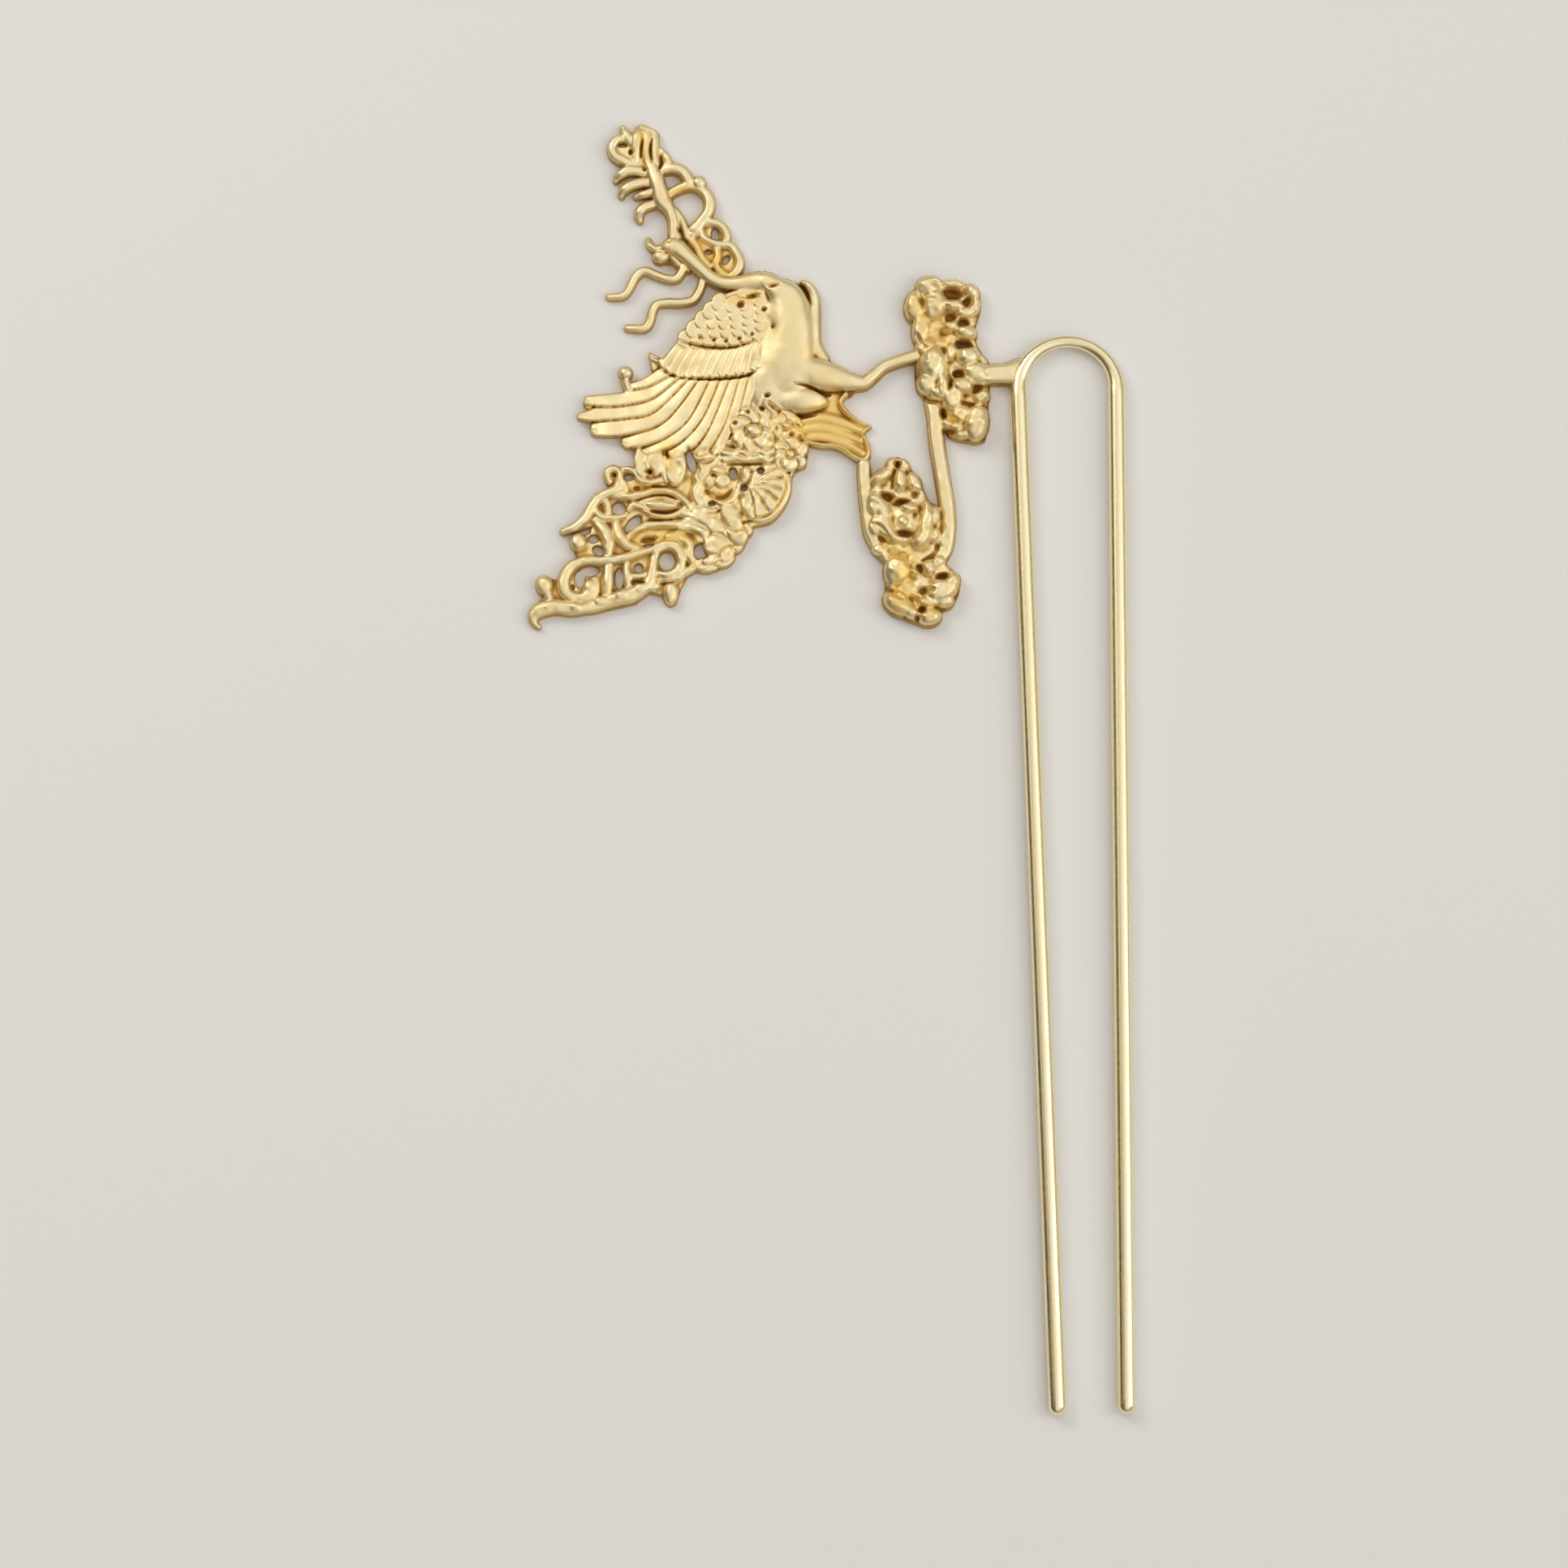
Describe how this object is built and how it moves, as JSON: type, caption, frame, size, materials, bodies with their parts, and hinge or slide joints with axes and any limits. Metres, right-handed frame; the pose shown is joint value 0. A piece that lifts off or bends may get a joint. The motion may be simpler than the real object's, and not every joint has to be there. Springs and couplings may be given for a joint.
{
  "type": "hair stick",
  "caption": "Two-prong hair stick: a bent wire fork carries a flat-backed openwork casting of a phoenix with crest, spread wing and scrolled tail beside two peony heads.",
  "frame": {"origin": "under the middle of the whole object, on the surface that it lies on", "axes": "+Y from the prong tips towards the crest, +X from the bird towards the fork, +Z out of the relief's face; it lies on its flat back"},
  "size_m": [0.0745, 0.1616, 0.003],
  "materials": {
    "wire": "polished gold-coloured metal",
    "casting": "satin cast metal, gold-coloured, deeper in the recesses"
  },
  "bodies": {
    "root": {"fork": "wire", "phoenix": "casting", "peony_branch": "casting"}
  },
  "joints": []
}
